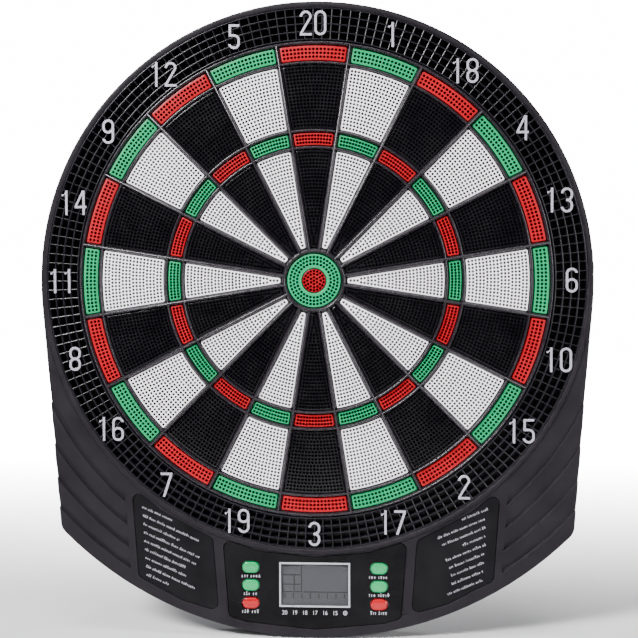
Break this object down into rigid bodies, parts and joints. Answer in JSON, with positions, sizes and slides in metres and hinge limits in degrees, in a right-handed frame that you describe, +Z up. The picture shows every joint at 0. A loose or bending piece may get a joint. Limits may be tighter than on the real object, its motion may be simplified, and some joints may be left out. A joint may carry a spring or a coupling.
{
  "type": "electronic dartboard",
  "caption": "Round soft-tip electronic dartboard with pressable perforated segments, a celled catch ring and a console with display and keys, hung on a wall by keyholes.",
  "frame": {"origin": "middle of the bull, on the rear plane that lies against the wall", "axes": "+Z up the board, through the middle of the 20; -Y out of the face, towards the thrower; +X to the right as the thrower sees it"},
  "size_m": [0.409, 0.028, 0.4714],
  "materials": {
    "segment_black": "satin moulded plastic",
    "segment_white": "satin moulded plastic",
    "segment_red": "satin moulded plastic, on the doubles and triples of the black numbers",
    "segment_green": "satin moulded plastic, on the doubles and triples of the white numbers",
    "bull_green": "satin moulded plastic",
    "bull_red": "satin moulded plastic",
    "web_grey": "satin moulded plastic",
    "catch_black": "glossy moulded plastic",
    "numeral_silver": "hot-stamped silver on plastic",
    "housing": "fine-textured moulded plastic",
    "cover": "fine-textured moulded plastic",
    "gloss_black": "polished",
    "bezel_silver": "satin silver paint",
    "window_clear": "clear polished",
    "display_grey": "grey liquid-crystal display",
    "silicone": "matte silicone rubber",
    "plate_black": "satin printed plate",
    "button_green": "polished",
    "button_red": "polished",
    "circuit_board": "solder-masked laminate",
    "chip_black": "moulded package",
    "speaker_grey": "stamped frame with a paper cone",
    "film": "thin polyester film",
    "hardboard": "pressed hardboard",
    "ribbon": "amber polyimide ribbon",
    "cell_wrap": "printed wrap, no lettering",
    "spring_steel": "nickel-plated spring steel",
    "wire_red": "insulated copper lead",
    "screw_steel": "zinc-plated"
  },
  "bodies": {
    "board": {"spider": "web_grey", "catch_ring": "catch_black", "number_ring": "numeral_silver", "front_housing": "housing", "rear_cover": "cover", "console_fascia": "gloss_black", "lcd_bezel": "bezel_silver", "lcd_window": "window_clear", "lcd_glass": "display_grey", "lcd_connector": "silicone", "rules_plate_left": "plate_black", "rules_plate_right": "plate_black", "keypad_left": "silicone", "keypad_right": "silicone", "main_board": "circuit_board", "board_chips": "chip_black", "speaker": "speaker_grey", "return_pad": "silicone", "sensor_film_upper": "film", "film_spacer": "film", "sensor_film_lower": "film", "backing_plate": "hardboard", "ribbon_rows": "ribbon", "ribbon_columns": "ribbon", "battery_1": "cell_wrap", "battery_2": "cell_wrap", "battery_3": "cell_wrap", "battery_contacts": "spring_steel", "wire_leads": "wire_red", "cover_screws": "screw_steel", "inner_screws": "screw_steel"},
    "number_20": {"segments_20": "segment_black"},
    "number_1": {"segments_1": "segment_white"},
    "number_18": {"segments_18": "segment_black"},
    "number_4": {"segments_4": "segment_white"},
    "number_13": {"segments_13": "segment_black"},
    "number_6": {"segments_6": "segment_white"},
    "number_10": {"segments_10": "segment_black"},
    "number_15": {"segments_15": "segment_white"},
    "number_2": {"segments_2": "segment_black"},
    "number_17": {"segments_17": "segment_white"},
    "number_3": {"segments_3": "segment_black"},
    "number_19": {"segments_19": "segment_white"},
    "number_7": {"segments_7": "segment_black"},
    "number_16": {"segments_16": "segment_white"},
    "number_8": {"segments_8": "segment_black"},
    "number_11": {"segments_11": "segment_white"},
    "number_14": {"segments_14": "segment_black"},
    "number_9": {"segments_9": "segment_white"},
    "number_12": {"segments_12": "segment_black"},
    "number_5": {"segments_5": "segment_white"},
    "outer_bull": {"bull_outer": "bull_green"},
    "inner_bull": {"bull_inner": "bull_red"},
    "option_key": {"option_button": "button_green"},
    "game_key": {"game_button": "button_green"},
    "power_key": {"power_button": "button_red"},
    "double_key": {"double_button": "button_green"},
    "player_key": {"player_button": "button_green"},
    "start_key": {"start_button": "button_red"},
    "door": {"battery_door": "cover"}
  },
  "joints": [
    {"name": "number_20_press", "type": "slide", "parent": "board", "child": "number_20", "axis": [0, 1, 0], "range_m": [0, 0.0015], "stiffness_N_per_m": 600},
    {"name": "number_1_press", "type": "slide", "parent": "board", "child": "number_1", "axis": [0, 1, 0], "range_m": [0, 0.0015], "stiffness_N_per_m": 600},
    {"name": "number_18_press", "type": "slide", "parent": "board", "child": "number_18", "axis": [0, 1, 0], "range_m": [0, 0.0015], "stiffness_N_per_m": 600},
    {"name": "number_4_press", "type": "slide", "parent": "board", "child": "number_4", "axis": [0, 1, 0], "range_m": [0, 0.0015], "stiffness_N_per_m": 600},
    {"name": "number_13_press", "type": "slide", "parent": "board", "child": "number_13", "axis": [0, 1, 0], "range_m": [0, 0.0015], "stiffness_N_per_m": 600},
    {"name": "number_6_press", "type": "slide", "parent": "board", "child": "number_6", "axis": [0, 1, 0], "range_m": [0, 0.0015], "stiffness_N_per_m": 600},
    {"name": "number_10_press", "type": "slide", "parent": "board", "child": "number_10", "axis": [0, 1, 0], "range_m": [0, 0.0015], "stiffness_N_per_m": 600},
    {"name": "number_15_press", "type": "slide", "parent": "board", "child": "number_15", "axis": [0, 1, 0], "range_m": [0, 0.0015], "stiffness_N_per_m": 600},
    {"name": "number_2_press", "type": "slide", "parent": "board", "child": "number_2", "axis": [0, 1, 0], "range_m": [0, 0.0015], "stiffness_N_per_m": 600},
    {"name": "number_17_press", "type": "slide", "parent": "board", "child": "number_17", "axis": [0, 1, 0], "range_m": [0, 0.0015], "stiffness_N_per_m": 600},
    {"name": "number_3_press", "type": "slide", "parent": "board", "child": "number_3", "axis": [0, 1, 0], "range_m": [0, 0.0015], "stiffness_N_per_m": 600},
    {"name": "number_19_press", "type": "slide", "parent": "board", "child": "number_19", "axis": [0, 1, 0], "range_m": [0, 0.0015], "stiffness_N_per_m": 600},
    {"name": "number_7_press", "type": "slide", "parent": "board", "child": "number_7", "axis": [0, 1, 0], "range_m": [0, 0.0015], "stiffness_N_per_m": 600},
    {"name": "number_16_press", "type": "slide", "parent": "board", "child": "number_16", "axis": [0, 1, 0], "range_m": [0, 0.0015], "stiffness_N_per_m": 600},
    {"name": "number_8_press", "type": "slide", "parent": "board", "child": "number_8", "axis": [0, 1, 0], "range_m": [0, 0.0015], "stiffness_N_per_m": 600},
    {"name": "number_11_press", "type": "slide", "parent": "board", "child": "number_11", "axis": [0, 1, 0], "range_m": [0, 0.0015], "stiffness_N_per_m": 600},
    {"name": "number_14_press", "type": "slide", "parent": "board", "child": "number_14", "axis": [0, 1, 0], "range_m": [0, 0.0015], "stiffness_N_per_m": 600},
    {"name": "number_9_press", "type": "slide", "parent": "board", "child": "number_9", "axis": [0, 1, 0], "range_m": [0, 0.0015], "stiffness_N_per_m": 600},
    {"name": "number_12_press", "type": "slide", "parent": "board", "child": "number_12", "axis": [0, 1, 0], "range_m": [0, 0.0015], "stiffness_N_per_m": 600},
    {"name": "number_5_press", "type": "slide", "parent": "board", "child": "number_5", "axis": [0, 1, 0], "range_m": [0, 0.0015], "stiffness_N_per_m": 600},
    {"name": "outer_bull_press", "type": "slide", "parent": "board", "child": "outer_bull", "axis": [0, 1, 0], "range_m": [0, 0.0015], "stiffness_N_per_m": 600},
    {"name": "inner_bull_press", "type": "slide", "parent": "board", "child": "inner_bull", "axis": [0, 1, 0], "range_m": [0, 0.0015], "stiffness_N_per_m": 600},
    {"name": "option_press", "type": "slide", "parent": "board", "child": "option_key", "axis": [0, 1, 0], "range_m": [0, 0.0012], "stiffness_N_per_m": 800},
    {"name": "game_press", "type": "slide", "parent": "board", "child": "game_key", "axis": [0, 1, 0], "range_m": [0, 0.0012], "stiffness_N_per_m": 800},
    {"name": "power_press", "type": "slide", "parent": "board", "child": "power_key", "axis": [0, 1, 0], "range_m": [0, 0.0012], "stiffness_N_per_m": 800},
    {"name": "double_press", "type": "slide", "parent": "board", "child": "double_key", "axis": [0, 1, 0], "range_m": [0, 0.0012], "stiffness_N_per_m": 800},
    {"name": "player_press", "type": "slide", "parent": "board", "child": "player_key", "axis": [0, 1, 0], "range_m": [0, 0.0012], "stiffness_N_per_m": 800},
    {"name": "start_press", "type": "slide", "parent": "board", "child": "start_key", "axis": [0, 1, 0], "range_m": [0, 0.0012], "stiffness_N_per_m": 800},
    {"name": "battery_door_pull", "type": "slide", "parent": "board", "child": "door", "axis": [0, 1, 0], "range_m": [0, 0.03]}
  ]
}
